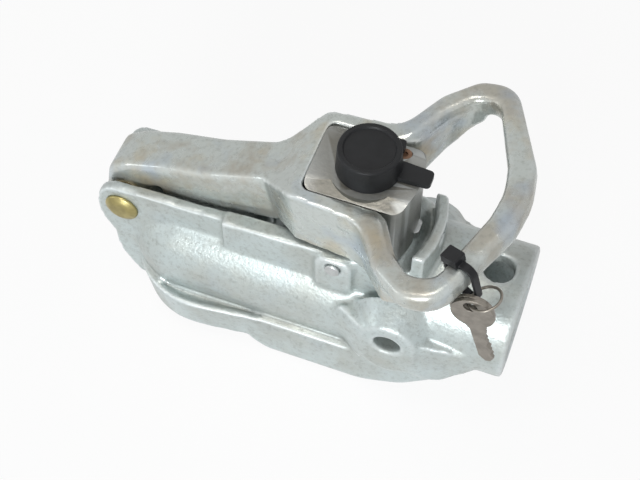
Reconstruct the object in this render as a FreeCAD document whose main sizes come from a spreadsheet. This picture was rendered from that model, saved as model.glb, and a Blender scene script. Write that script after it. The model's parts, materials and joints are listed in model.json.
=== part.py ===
import FreeCAD, Part
import math
import os
import re

import Sketcher
from FreeCAD import Placement, Rotation, Vector

# Lockable trailer ball coupling: cast body, forged lever with a loop handle, key lock.
# Frame: origin at the centre of the ball, +X back along the drawbar, +Z up, millimetres.

SIZES = [
    # Ball, socket and drawbar
    ("ball_dia", 50.0, "tow ball"),
    ("ball_gap", 0.3, "clearance round the ball"),
    ("drawbar_dia", 50.0, "round drawbar"),
    ("drawbar_gap", 0.25, "radial clearance of the drawbar"),
    ("tube_wall", 7.25, "wall of the rear sleeve"),
    ("tube_axis_z", 34.0, "height of the drawbar axis over the ball centre"),
    ("tube_end_x", 157.0, "rear face of the sleeve"),
    ("tube_step_x", 106.0, "step between sleeve and barrel"),
    ("bore_front_x", 88.0, "inner end of the drawbar bore"),
    # Drawbar bolts
    ("bolt_dia", 12.0, "cross bolt"),
    ("bolt_gap", 0.5, "radial clearance of a drawbar bolt"),
    ("cross_bolt_x", 103.0, "cross bolt behind the ball"),
    ("post_bolt_dia", 14.0, "upright bolt"),
    ("post_bolt_x", 142.5, "upright bolt behind the ball"),
    ("boss_wide", 27.0, "face of the cross bolt boss"),
    ("boss_low_z", 10.5, "lower end of the boss face"),
    ("boss_top_z", 48.0, "upper end of the boss face"),
    ("boss_deep", 13.0, "depth of the boss"),
    ("boss_draft", 34.0, "slope of the boss sides in degrees"),
    ("boss_half", 39.8, "half width over the bosses"),
    # Skirt, belly and barrel
    ("skirt_half", 40.0, "half width of the skirt at the ball"),
    ("skirt_rear_half", 36.0, "half width of the skirt at the rear"),
    ("skirt_low_z", -11.0, "lower edge of the skirt"),
    ("skirt_draft", 7.0, "draft of the skirt in degrees"),
    ("ledge_z", 9.5, "ledge round the barrel"),
    ("lip_high", 2.0, "lip on the ledge"),
    ("lip_wide", 3.2, "width of the lip"),
    ("skirt_rear_x", 112.0, "rear end of the skirt"),
    ("belly_front_x", 33.0, "front end of the belly"),
    ("belly_low_z", -18.0, "flat that the coupling stands on"),
    ("barrel_rad", 33.0, "radius of the barrel"),
    ("barrel_axis_z", 23.0, "axis of the barrel"),
    ("barrel_nose_x", -9.0, "centre of the domed front end"),
    ("barrel_wall", 8.0, "wall of the hollow barrel"),
    ("belly_wall", 7.0, "wall of the belly"),
    ("hollow_front_x", 36.0, "front end of the hollow behind the ball"),
    ("hollow_rear_x", 84.0, "rear end of the hollow"),
    # Nose, rails and tabs
    ("pin_x", -39.5, "lever pin"),
    ("pin_z", 49.7, "lever pin"),
    ("pin_dia", 14.0, "shank of the lever pin"),
    ("head_dia", 17.0, "head of the lever pin"),
    ("head_high", 3.4, "head of the lever pin"),
    ("washer_thick", 2.0, "washer under the riveted end"),
    ("nose_rad", 13.0, "round nose"),
    ("cheek_half", 20.0, "half width over the cheeks"),
    ("slot_half", 14.5, "half width of the channel"),
    ("slot_floor_z", 36.4, "floor of the channel"),
    ("rail_rear_z", 71.0, "top of the rails at the rear"),
    ("pad_front_x", 15.0, "front end of the raised pads"),
    ("pad_rear_x", 106.0, "rear end of the raised pads"),
    ("pad_half", 23.0, "half width over the pads"),
    ("tab_half", 26.0, "half width over the tabs"),
    ("tab_long", 18.0, "length of a tab"),
    ("tab_top_z", 69.8, "top of a tab"),
    ("tab_low_z", 46.0, "foot of a tab"),
    ("jaw_pin_x", 71.0, "pin of the ball jaw"),
    ("jaw_pin_z", 62.3, "pin of the ball jaw"),
    ("jaw_pin_dia", 6.8, "pin of the ball jaw"),
    ("seat_gap", 0.02, "radial gap of a fixed pin in its hole"),
    ("pin_gap", 0.06, "radial running clearance of pins"),
    # Keeper behind the lock
    ("keeper_half", 19.0, "half width of the keeper"),
    ("keeper_rad", 48.0, "outer radius of the keeper"),
    ("keeper_thick", 5.5, "thickness of the keeper"),
    ("keeper_rear_x", 115.0, "rearmost point of the keeper"),
    ("keeper_top_z", 81.5, "top of the keeper"),
    # Lever
    ("tongue_half", 12.0, "half width of the tongue"),
    ("tongue_edge", 3.0, "rounded edges of the tongue"),
    ("eye_rad", 12.5, "lever eye"),
    ("bush_wall", 1.5, "wall of the pivot bush"),
    ("side_gap", 0.4, "gap between bush and cheek"),
    ("box_front_x", 50.0, "front corners of the lock box"),
    ("box_front_half", 25.3, "half width at the front corners"),
    ("box_rear_x", 82.0, "rear end of the lock box"),
    ("box_rear_half", 28.0, "half width at the rear end"),
    ("box_top_z", 110.5, "rim of the lock box"),
    ("box_low_z", 71.6, "foot of the lock box"),
    ("box_draft", 6.0, "draft of the box sides in degrees"),
    ("box_floor", 5.0, "floor under the housing's front end"),
    ("window_half", 19.2, "half width of the window"),
    ("window_front_x", 53.5, "front end of the window"),
    ("floor_rear_x", 64.0, "rear edge of the floor"),
    ("loop_tilt", 13.0, "rise of the loop in degrees"),
    ("loop_half", 60.5, "half width over the loop"),
    ("loop_rear", 67.5, "length of the loop behind the box"),
    ("loop_bar", 12.0, "width of the loop's bar"),
    ("loop_thick", 11.5, "thickness of the loop's bar"),
    ("loop_edge", 3.2, "rounded edges of the loop's bar"),
    # Lock housing and lock
    ("lock_x", 78.0, "axis of the key lock"),
    ("housing_gap", 0.4, "gap between housing and window"),
    ("housing_rear_x", 104.5, "rear face of the housing"),
    ("housing_low_z", 71.9, "foot of the housing"),
    ("housing_top_z", 112.2, "top of the housing"),
    ("housing_crown", 12.0, "half width of the flat top"),
    ("housing_fall", 3.4, "fall of the top towards the sides"),
    ("collar_rad", 17.8, "collar under the cap"),
    ("neck_rad", 12.4, "neck inside the cap"),
    ("neck_high", 6.8, "neck over the housing's top"),
    ("cylinder_dia", 20.0, "lock cylinder"),
    ("cylinder_low_z", 83.0, "lower end of the lock cylinder"),
    ("flange_thick", 1.0, "flange of the lock cylinder"),
    ("plug_dia", 12.0, "turning plug"),
    ("cam_dia", 19.4, "cam disc of the plug"),
    ("cam_thick", 3.2, "cam disc of the plug"),
    ("cam_pin_dia", 4.0, "cam pin"),
    ("bolt_wide", 8.0, "nose of the lock bolt"),
    ("bolt_high", 5.0, "nose of the lock bolt"),
    ("bolt_z", 76.2, "axis of the lock bolt"),
    ("bolt_fit", 0.25, "clearance round the lock bolt"),
    ("tail_wide", 20.0, "tail of the lock bolt"),
    ("tail_long", 9.5, "tail of the lock bolt"),
    ("slot_fit", 0.35, "clearance of the cam pin in its slot"),
    ("throw", 9.4, "travel of the lock bolt"),
    ("cover_thick", 1.4, "cover under the lock bolt"),
    ("cover_screw_x", 90.5, "screw of the cover"),
    ("cover_screw_y", 12.5, "screw of the cover"),
    # Dust cap
    ("cap_rad", 14.7, "dust cap"),
    ("cap_room", 3.0, "room between lock and cap"),
    ("cap_gap", 0.3, "gap between cap and neck"),
    ("cap_wall", 2.3, "top wall of the dust cap"),
    ("tab_reach", 28.4, "finger tab of the cap from its axis"),
    # Ball jaw
    ("jaw_half", 8.0, "half width of the jaw's hub"),
    ("jaw_shoe_half", 12.0, "half width of the jaw's shoe"),
    ("jaw_hub_rad", 7.6, "hub of the jaw"),
    ("seat_fit", 0.2, "gap between jaw and ball"),
    ("spring_wire", 1.6, "wire of the jaw spring"),
    ("spring_rad", 5.4, "coil of the jaw spring"),
    # Keys and tie
    ("tie_x", 131.6, "cable tie on the bar's centre line"),
    ("tie_y", -40.4, "cable tie on the bar's centre line"),
    ("tie_z", 116.05, "cable tie on the bar's centre line"),
    ("tie_turn", -23.0, "run of the bar there in degrees"),
    ("tie_drop", 11.2, "lower end of the tie's loop under the bar's centre"),
    ("tie_wide", 3.6, "width of the cable tie"),
    ("tie_thick", 1.4, "thickness of the cable tie"),
    ("ring_x", 144.1, "centre of the key ring"),
    ("ring_y", -44.97, "centre of the key ring"),
    ("ring_z", 109.67, "centre of the key ring"),
    ("ring_lean", -15.0, "lean of the key ring in degrees"),
    ("ring_rad", 6.8, "key ring"),
    ("ring_wire", 1.3, "wire of the key ring"),
    ("bow_rad", 9.5, "bow of a key"),
    ("key_long", 26.0, "blade of a key"),
    ("key_thick", 1.8, "thickness of a key"),
    ("key_front_x", 140.6, "bow of the front key"),
    ("key_front_y", -48.9, "bow of the front key"),
    ("key_front_z", 102.94, "bow of the front key"),
    ("key_back_x", 139.71, "bow of the spare key"),
    ("key_back_y", -46.8, "bow of the spare key"),
    ("key_back_z", 102.25, "bow of the spare key"),
]

doc = FreeCAD.newDocument("ball_coupling")
sheet = doc.addObject("Spreadsheet::Sheet", "sizes")
for line, (alias, value, note) in enumerate(SIZES, start=1):
    sheet.set("A%d" % line, str(value))
    sheet.setAlias("A%d" % line, alias)
    sheet.set("B%d" % line, note)
doc.recompute()
ALIASES = {alias for alias, value, note in SIZES}


def bound(text):
    """Write a size expression with the sheet's name before each alias."""
    def full(word):
        return "sizes." + word.group(0) if word.group(0) in ALIASES else word.group(0)
    return re.sub(r"[a-z_][a-z_0-9]*", full, str(text))


def size(text):
    """Value of a size expression."""
    return float(sheet.evalExpression(bound(text)))


def new_body(label):
    """One piece, named as its file."""
    body = doc.addObject("PartDesign::Body", label)
    body.Label = label
    return body


def new_sketch(body, role, name, offset="0", base=None, turn=None):
    """Sketch on an origin plane of the piece; offset is along the plane's normal."""
    sketch = body.newObject("Sketcher::SketchObject", name)
    plane = [item for item in body.Origin.OriginFeatures if item.Role == role][0]
    sketch.AttachmentSupport = [(plane, "")]
    sketch.MapMode = "FlatFace"
    if turn is not None:
        sketch.AttachmentOffset = Placement(Vector(0, 0, 0), Rotation(Vector(*turn[0]), size(turn[1])))
        sketch.setExpression("AttachmentOffset.Rotation.Angle", bound(turn[1]))
    for axis, text in zip("xyz", base or ("0", "0", offset)):
        sketch.setExpression("AttachmentOffset.Base." + axis, bound(text))
    return sketch


def place(sketch, geometry, point, across, up):
    """Hold a point of a sketch by two expressions."""
    for kind, text in (("DistanceX", across), ("DistanceY", up)):
        index = sketch.addConstraint(Sketcher.Constraint(kind, -1, 1, geometry, point, size(text)))
        sketch.setExpression("Constraints[%d]" % index, bound(text))


def outline(sketch, corners):
    """Closed loop of straight edges; a corner is (across, up) or (across, up, radius)."""
    spots = [Vector(size(corner[0]), size(corner[1]), 0) for corner in corners]
    count = len(corners)
    ends = []
    for index, corner in enumerate(corners):
        here = spots[index]
        inward = (here - spots[index - 1]).normalize()
        outward = (spots[(index + 1) % count] - here).normalize()
        if len(corner) == 2:
            ends.append((here, here, None))
            continue
        radius = size(corner[2])
        turn = math.atan2(inward.cross(outward).z, inward.dot(outward))
        reach = radius * math.tan(abs(turn) / 2)
        side = math.copysign(1.0, turn)
        first = here - inward * reach
        last = here + outward * reach
        centre = first + Vector(-inward.y, inward.x, 0) * radius * side
        ends.append((first, last, (centre, radius, side)))
    lines = []
    for index in range(count):
        edge = Part.LineSegment(ends[index][1], ends[(index + 1) % count][0])
        lines.append(sketch.addGeometry(edge, False))
    for index, corner in enumerate(corners):
        before = lines[index - 1]
        after = lines[index]
        first, last, arc = ends[index]
        if arc is None:
            sketch.addConstraint(Sketcher.Constraint("Coincident", before, 2, after, 1))
            place(sketch, after, 1, corner[0], corner[1])
            continue
        centre, radius, side = arc
        begin, finish = (first, last) if side > 0 else (last, first)
        low = math.atan2(begin.y - centre.y, begin.x - centre.x)
        high = math.atan2(finish.y - centre.y, finish.x - centre.x)
        if high < low:
            high += 2 * math.pi
        circle = Part.Circle(centre, Vector(0, 0, 1), radius)
        bend = sketch.addGeometry(Part.ArcOfCircle(circle, low, high), False)
        near, far = (1, 2) if side > 0 else (2, 1)
        sketch.addConstraint(Sketcher.Constraint("Tangent", before, 2, bend, near))
        sketch.addConstraint(Sketcher.Constraint("Tangent", bend, far, after, 1))
        index_radius = sketch.addConstraint(Sketcher.Constraint("Radius", bend, radius))
        sketch.setExpression("Constraints[%d]" % index_radius, bound(corner[2]))
        mark = sketch.addGeometry(Part.Point(spots[index]), True)
        sketch.addConstraint(Sketcher.Constraint("PointOnObject", mark, 1, before))
        sketch.addConstraint(Sketcher.Constraint("PointOnObject", mark, 1, after))
        place(sketch, mark, 1, corner[0], corner[1])
    return sketch


def circle(sketch, across, up, radius):
    """Circle held by its centre and radius."""
    ring = Part.Circle(Vector(size(across), size(up), 0), Vector(0, 0, 1), size(radius))
    index = sketch.addGeometry(ring, False)
    place(sketch, index, 3, across, up)
    row = sketch.addConstraint(Sketcher.Constraint("Radius", index, size(radius)))
    sketch.setExpression("Constraints[%d]" % row, bound(radius))
    return sketch


def strip(sketch, centre, outer, thick, half):
    """Curved strip between two arcs about a point on the across axis."""
    inner = "(%s) - (%s)" % (outer, thick)
    ends = []
    for radius in (outer, inner):
        swing = math.asin(size(half) / size(radius))
        ring = Part.Circle(Vector(size(centre), 0, 0), Vector(0, 0, 1), size(radius))
        arc = sketch.addGeometry(Part.ArcOfCircle(ring, -swing, swing), False)
        place(sketch, arc, 3, centre, "0")
        row = sketch.addConstraint(Sketcher.Constraint("Radius", arc, size(radius)))
        sketch.setExpression("Constraints[%d]" % row, bound(radius))
        for point, sign in ((1, "-"), (2, "")):
            high = sign + "(" + half + ")"
            row = sketch.addConstraint(Sketcher.Constraint("DistanceY", -1, 1, arc, point, size(high)))
            sketch.setExpression("Constraints[%d]" % row, bound(high))
        ends.append(arc)
    for point in (1, 2):
        start = sketch.getPoint(ends[0], point)
        finish = sketch.getPoint(ends[1], point)
        edge = sketch.addGeometry(Part.LineSegment(start, finish), False)
        sketch.addConstraint(Sketcher.Constraint("Coincident", ends[0], point, edge, 1))
        sketch.addConstraint(Sketcher.Constraint("Coincident", ends[1], point, edge, 2))
    return sketch


def pad(body, sketch, length, both=True, back=False, taper=None):
    """Add material along the sketch's normal."""
    feature = body.newObject("PartDesign::Pad", sketch.Name + "_pad")
    feature.Profile = sketch
    feature.SideType = "Symmetric" if both else "One side"
    feature.Reversed = back
    feature.setExpression("Length", bound(length))
    if taper:
        feature.setExpression("TaperAngle", bound(taper))
    doc.recompute()
    return feature


def pocket(body, sketch, length=None, both=True, back=False):
    """Cut along the sketch's normal, right through if no length is given."""
    feature = body.newObject("PartDesign::Pocket", sketch.Name + "_cut")
    feature.Profile = sketch
    feature.SideType = "Symmetric" if both else "One side"
    feature.Reversed = back
    if length is None:
        feature.Type = "ThroughAll"
    else:
        feature.setExpression("Length", bound(length))
    doc.recompute()
    return feature


def turned(body, sketch, kind="Revolution", axis="V_Axis"):
    """Turn a sketch right round one of its own axes."""
    feature = body.newObject("PartDesign::" + kind, sketch.Name + "_turn")
    feature.Profile = sketch
    feature.ReferenceAxis = (sketch, [axis])
    feature.Angle = 360
    doc.recompute()
    return feature


def primitive(body, kind, name, role, base, sizes):
    """Additive or subtractive cylinder, sphere or box on an origin plane."""
    feature = body.newObject("PartDesign::" + kind, name)
    plane = [item for item in body.Origin.OriginFeatures if item.Role == role][0]
    feature.AttachmentSupport = [(plane, "")]
    feature.MapMode = "FlatFace"
    for axis, text in zip("xyz", base):
        feature.setExpression("AttachmentOffset.Base." + axis, bound(text))
    for key, text in sizes.items():
        feature.setExpression(key, bound(text))
    doc.recompute()
    return feature


def dress(body, kind, amount, wanted):
    """Fillet or chamfer the edges of the last feature that a test picks."""
    base = body.Tip
    names = ["Edge%d" % (i + 1) for i, edge in enumerate(base.Shape.Edges) if wanted(edge)]
    if not names:
        raise RuntimeError("no edge to dress on " + body.Label)
    feature = body.newObject("PartDesign::" + kind, "%s_%s%d" % (body.Name, kind, len(body.Group)))
    feature.Base = (base, names)
    feature.setExpression("Radius" if kind == "Fillet" else "Size", bound(amount))
    doc.recompute()
    return feature


def middle(edge):
    """Middle point of an edge."""
    return edge.valueAt((edge.FirstParameter + edge.LastParameter) / 2)


TUBE_RAD = "(drawbar_dia / 2 + drawbar_gap + tube_wall)"
BORE_RAD = "(drawbar_dia / 2 + drawbar_gap)"
SOCKET_RAD = "(ball_dia / 2 + ball_gap)"
PIN_HOLE_RAD = "(pin_dia / 2 + pin_gap)"
NECK_TOP = "(housing_top_z + neck_high)"
LOCK_TOP = "(housing_top_z + neck_high + flange_thick)"
CAP_TOP = "(housing_top_z + neck_high + flange_thick + cap_room + cap_wall)"
THROW_RAD = "(throw / 2 / sin(45))"
CAM_X = "(lock_x - throw / 2)"
TAIL_X = "(lock_x - throw / 2 - tail_long / 2)"
SLOT_RAD = "(cam_pin_dia / 2 + slot_fit)"
BAR_TURNS = (("y", "-loop_tilt"), ("z", "tie_turn"))


def mirrored(corners):
    """The same corners on the other side, in the order that carries on from them."""
    return [(row[0], "-(" + row[1] + ")") + tuple(row[2:]) for row in reversed(corners)]


def skirt_corners(inset):
    """Plan of the skirt, drawn in by an inset."""
    front = "(-skirt_half + %s)" % inset
    wide = "(skirt_half - %s)" % inset
    rear_wide = "(skirt_rear_half - %s)" % inset
    rear = "(skirt_rear_x - %s)" % inset
    nose = "(skirt_half - 0.6 - %s)" % inset
    half = [
        (front, wide, nose),
        ("4", wide, "60"),
        ("38", rear_wide, "60"),
        (rear, rear_wide, "24"),
    ]
    return half + mirrored(half)


def coupling_body():
    """Cast body: socket, barrel, rails, belly and drawbar sleeve in one piece."""
    body = new_body("coupling_body")
    belly = outline(new_sketch(body, "XZ_Plane", "belly"), [
        ("belly_front_x - 8", "ledge_z - 4"),
        ("belly_front_x - 4", "skirt_low_z - 1", "8"),
        ("belly_front_x + 6", "belly_low_z", "10"),
        ("91", "belly_low_z", "30"),
        ("112", "-9", "30"),
        ("131", "ledge_z"),
        ("belly_front_x", "ledge_z"),
    ])
    pad(body, belly, "2 * skirt_rear_half")
    dress(body, "Fillet", "5", lambda e: abs(abs(middle(e).y) - size("skirt_rear_half")) < 0.01
          and middle(e).z < size("ledge_z") and middle(e).x > size("belly_front_x - 6"))

    skirt = outline(new_sketch(body, "XY_Plane", "skirt", "ledge_z + lip_high"),
                    skirt_corners("0"))
    pad(body, skirt, "ledge_z + lip_high - skirt_low_z", both=False, back=True,
        taper="-skirt_draft")
    ledge = outline(new_sketch(body, "XY_Plane", "ledge", "ledge_z + lip_high"),
                    skirt_corners("lip_wide"))
    pocket(body, ledge, "lip_high", both=False)

    primitive(body, "AdditiveSphere", "dome", "XY_Plane",
              ("barrel_nose_x", "0", "barrel_axis_z"), {"Radius": "barrel_rad"})
    primitive(body, "AdditiveCylinder", "barrel", "YZ_Plane",
              ("0", "barrel_axis_z", "barrel_nose_x"),
              {"Radius": "barrel_rad", "Height": "tube_step_x - barrel_nose_x"})
    primitive(body, "AdditiveCylinder", "sleeve", "YZ_Plane",
              ("0", "tube_axis_z", "tube_step_x"),
              {"Radius": TUBE_RAD, "Height": "tube_end_x - tube_step_x"})
    dress(body, "Fillet", "1.6", lambda e: abs(middle(e).x - size("tube_end_x")) < 0.01)

    web = outline(new_sketch(body, "XZ_Plane", "web"), [
        ("pin_x - nose_rad", "pin_z + nose_rad", "nose_rad - 0.1"),
        ("pin_x - nose_rad", "pin_z - 13", "9"),
        ("pin_x - 7.6", "27", "9"),
        ("pin_x - 6.4", "10", "12"),
        ("-skirt_half + 3", "skirt_low_z + 4"),
        ("-20", "skirt_low_z + 4"),
        ("-12", "40"),
        ("-12", "pin_z + nose_rad + 2"),
    ])
    pad(body, web, "2 * cheek_half")
    rails = outline(new_sketch(body, "XZ_Plane", "rails"), [
        ("-20", "pin_z + nose_rad + 0.9"),
        ("pad_rear_x", "rail_rear_z", "8"),
        ("pad_rear_x", "44"),
        ("-20", "40"),
    ])
    pad(body, rails, "2 * cheek_half")
    pads = outline(new_sketch(body, "XZ_Plane", "pads"), [
        ("pad_front_x", "rail_rear_z - 3.8"),
        ("pad_rear_x", "rail_rear_z", "8"),
        ("pad_rear_x", "45"),
        ("pad_front_x", "45", "3"),
    ])
    pad(body, pads, "2 * pad_half")
    tabs = outline(new_sketch(body, "XZ_Plane", "tabs"), [
        ("jaw_pin_x - tab_long / 2", "tab_top_z - 1", "6"),
        ("jaw_pin_x + tab_long / 2", "tab_top_z", "6"),
        ("jaw_pin_x + tab_long / 2", "tab_low_z", "1.5"),
        ("jaw_pin_x - tab_long / 2", "tab_low_z", "1.5"),
    ])
    pad(body, tabs, "2 * tab_half")
    for name, offset, back in (("boss_near", "boss_half", True), ("boss_far", "-boss_half", False)):
        boss = outline(new_sketch(body, "XZ_Plane", name, offset), [
            ("cross_bolt_x - boss_wide / 2", "boss_low_z", "boss_wide / 2 - 0.1"),
            ("cross_bolt_x - boss_wide / 2", "boss_top_z", "boss_wide / 2 - 0.1"),
            ("cross_bolt_x + boss_wide / 2", "boss_top_z", "boss_wide / 2 - 0.1"),
            ("cross_bolt_x + boss_wide / 2", "boss_low_z", "boss_wide / 2 - 0.1"),
        ])
        pad(body, boss, "boss_deep", both=False, back=back, taper="boss_draft")

    keeper = strip(new_sketch(body, "XY_Plane", "keeper", "tube_axis_z + 20"),
                   "keeper_rear_x - keeper_rad", "keeper_rad", "keeper_thick", "keeper_half")
    pad(body, keeper, "keeper_top_z - tube_axis_z - 20", both=False)

    mouth_low = "belly_low_z - 5"
    primitive(body, "SubtractiveSphere", "socket", "XY_Plane", ("0", "0", "0"),
              {"Radius": SOCKET_RAD})
    primitive(body, "SubtractiveCylinder", "mouth", "XY_Plane", ("0", "0", mouth_low),
              {"Radius": SOCKET_RAD, "Height": "-belly_low_z + 5"})
    primitive(body, "SubtractiveCylinder", "hollow", "YZ_Plane",
              ("0", "barrel_axis_z", "hollow_front_x"),
              {"Radius": "barrel_rad - barrel_wall", "Height": "hollow_rear_x - hollow_front_x"})
    primitive(body, "SubtractiveCylinder", "bore", "YZ_Plane",
              ("0", "tube_axis_z", "bore_front_x"),
              {"Radius": BORE_RAD, "Height": "tube_end_x + 5 - bore_front_x"})
    pit = outline(new_sketch(body, "XY_Plane", "pit", mouth_low), [
        ("hollow_front_x", "-skirt_rear_half + belly_wall", "6"),
        ("hollow_rear_x", "-skirt_rear_half + belly_wall", "12"),
        ("hollow_rear_x", "skirt_rear_half - belly_wall", "12"),
        ("hollow_front_x", "skirt_rear_half - belly_wall", "6"),
    ])
    pocket(body, pit, "ledge_z - 5 - belly_low_z + 5", both=False, back=True)
    channel = outline(new_sketch(body, "XZ_Plane", "channel"), [
        ("pin_x - 25", "slot_floor_z"),
        ("24", "slot_floor_z", "6"),
        ("24", "22"),
        ("12", "4"),
        ("12", mouth_low),
        ("hollow_rear_x", mouth_low),
        ("hollow_rear_x", "42", "6"),
        ("98", "54", "6"),
        ("98", "rail_rear_z + 12"),
        ("pin_x - 25", "rail_rear_z + 12"),
    ])
    pocket(body, channel, "2 * slot_half")
    primitive(body, "SubtractiveBox", "keeper_slot", "XY_Plane",
              ("keeper_rear_x - keeper_thick - 4", "-bolt_wide / 2 - 0.5",
               "bolt_z - bolt_high / 2 - 0.5"),
              {"Length": "keeper_thick + 8", "Width": "bolt_wide + 1", "Height": "bolt_high + 1"})
    cross = circle(new_sketch(body, "XZ_Plane", "cross_hole"), "cross_bolt_x", "tube_axis_z",
                   "bolt_dia / 2 + bolt_gap")
    pocket(body, cross)
    post = circle(new_sketch(body, "XY_Plane", "post_hole"), "post_bolt_x", "0",
                  "post_bolt_dia / 2 + bolt_gap")
    pocket(body, post)
    holes = new_sketch(body, "XZ_Plane", "pin_holes")
    circle(holes, "pin_x", "pin_z", "pin_dia / 2 + seat_gap")
    circle(holes, "jaw_pin_x", "jaw_pin_z", "jaw_pin_dia / 2 + seat_gap")
    pocket(body, holes)
    return body


def lever_pin():
    """Headed pivot pin, riveted over a washer on the far side."""
    body = new_body("lever_pin")
    profile = new_sketch(body, "XY_Plane", "pin", base=("pin_x", "0", "pin_z"))
    outline(profile, [
        ("0", "-cheek_half - head_high"),
        ("head_dia / 2 - 3", "-cheek_half - head_high + 0.3", "6"),
        ("head_dia / 2", "-cheek_half - 1.2", "1"),
        ("head_dia / 2", "-cheek_half"),
        ("pin_dia / 2", "-cheek_half"),
        ("pin_dia / 2", "cheek_half + washer_thick"),
        ("pin_dia / 2 + 1.2", "cheek_half + washer_thick"),
        ("pin_dia / 2 + 0.6", "cheek_half + washer_thick + 1.8", "1"),
        ("0", "cheek_half + washer_thick + 2.2"),
    ])
    turned(body, profile)
    return body


def lever_pin_washer():
    """Plain washer under the riveted end of the lever pin."""
    body = new_body("lever_pin_washer")
    ring = new_sketch(body, "XZ_Plane", "washer", "-cheek_half")
    circle(ring, "pin_x", "pin_z", "head_dia / 2 + 1.5")
    circle(ring, "pin_x", "pin_z", "pin_dia / 2 + seat_gap")
    pad(body, ring, "washer_thick", both=False, back=True)
    return body


def lever_bush():
    """Steel bush in the lever's eye, running on the lever pin."""
    body = new_body("lever_bush")
    ring = new_sketch(body, "XZ_Plane", "bush")
    circle(ring, "pin_x", "pin_z", "pin_dia / 2 + pin_gap + bush_wall")
    circle(ring, "pin_x", "pin_z", "pin_dia / 2 + pin_gap")
    pad(body, ring, "2 * (slot_half - side_gap)")
    return body


def lock_box():
    """Tapered box of the lever round the lock, with its arms towards the loop."""
    body = new_body("lock_box")
    half = [
        ("20", "tongue_half - 2"),
        ("31", "tongue_half + 0.5", "24"),
        ("box_front_x", "box_front_half", "9"),
        ("box_rear_x", "box_rear_half", "14"),
        ("100", "50.5", "12"),
        ("118", "58.5"),
    ]
    plan = outline(new_sketch(body, "XY_Plane", "plan", "box_top_z"), mirrored(half) + half)
    pad(body, plan, "box_top_z - box_low_z + 5", both=False, back=True, taper="-box_draft")
    side = outline(new_sketch(body, "XZ_Plane", "side"), [
        ("10", "150"),
        ("140", "150"),
        ("140", "113"),
        ("box_rear_x + 3", "box_top_z - 0.2", "20"),
        ("box_front_x + 1", "box_top_z - 0.2", "9"),
        ("36", "97.5", "14"),
        ("24", "93"),
        ("24", "67"),
        ("40", "box_low_z", "20"),
        ("box_rear_x + 2", "box_low_z", "10"),
        ("117", "101.5", "6"),
        ("140", "105"),
        ("140", "20"),
        ("10", "20"),
    ])
    pocket(body, side)
    return body


def loop_bar():
    """Rounded bar of the loop handle, rising behind the lock box."""
    body = new_body("loop_bar_form")
    loop = new_sketch(body, "XY_Plane", "loop", turn=((0, 1, 0), "-loop_tilt"),
                      base=("box_rear_x", "0", "box_top_z"))
    outer = [
        ("-10", "box_rear_half - 1"),
        ("1", "box_rear_half + 0.5", "10"),
        ("14", "49", "16"),
        ("29", "loop_half", "11"),
        ("46", "loop_half - 0.5", "15"),
        ("loop_rear - 1.5", "17", "14"),
    ]
    inner = [
        ("-10", "window_half + 0.6"),
        ("8", "window_half + 0.6", "10"),
        ("19", "38.5", "14"),
        ("29.5", "loop_half - loop_bar", "8"),
        ("41", "loop_half - loop_bar", "7"),
        ("loop_rear - loop_bar - 1.5", "14", "9"),
    ]
    ring = outer + [("loop_rear + 1", "0", "45")] + mirrored(outer)
    ring = ring + [(row[0], "-(" + row[1] + ")") + tuple(row[2:]) for row in inner]
    ring = ring + [("loop_rear - loop_bar + 1", "0", "40")] + list(reversed(inner))
    outline(loop, ring)
    pad(body, loop, "loop_thick", both=False, back=True)
    slope = math.radians(size("loop_tilt"))

    def along_bar(edge):
        spot = middle(edge)
        reach = spot.x - size("box_rear_x")
        height = (spot.z - size("box_top_z")) * math.cos(slope) - reach * math.sin(slope)
        across = abs(edge.tangentAt(edge.FirstParameter).dot(Vector(-math.sin(slope), 0, math.cos(slope))))
        return across < 0.01 and (abs(height) < 0.01 or abs(height + size("loop_thick")) < 0.01) \
            and reach * math.cos(slope) + (spot.z - size("box_top_z")) * math.sin(slope) > -9.9

    dress(body, "Fillet", "loop_edge", along_bar)
    return body


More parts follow.
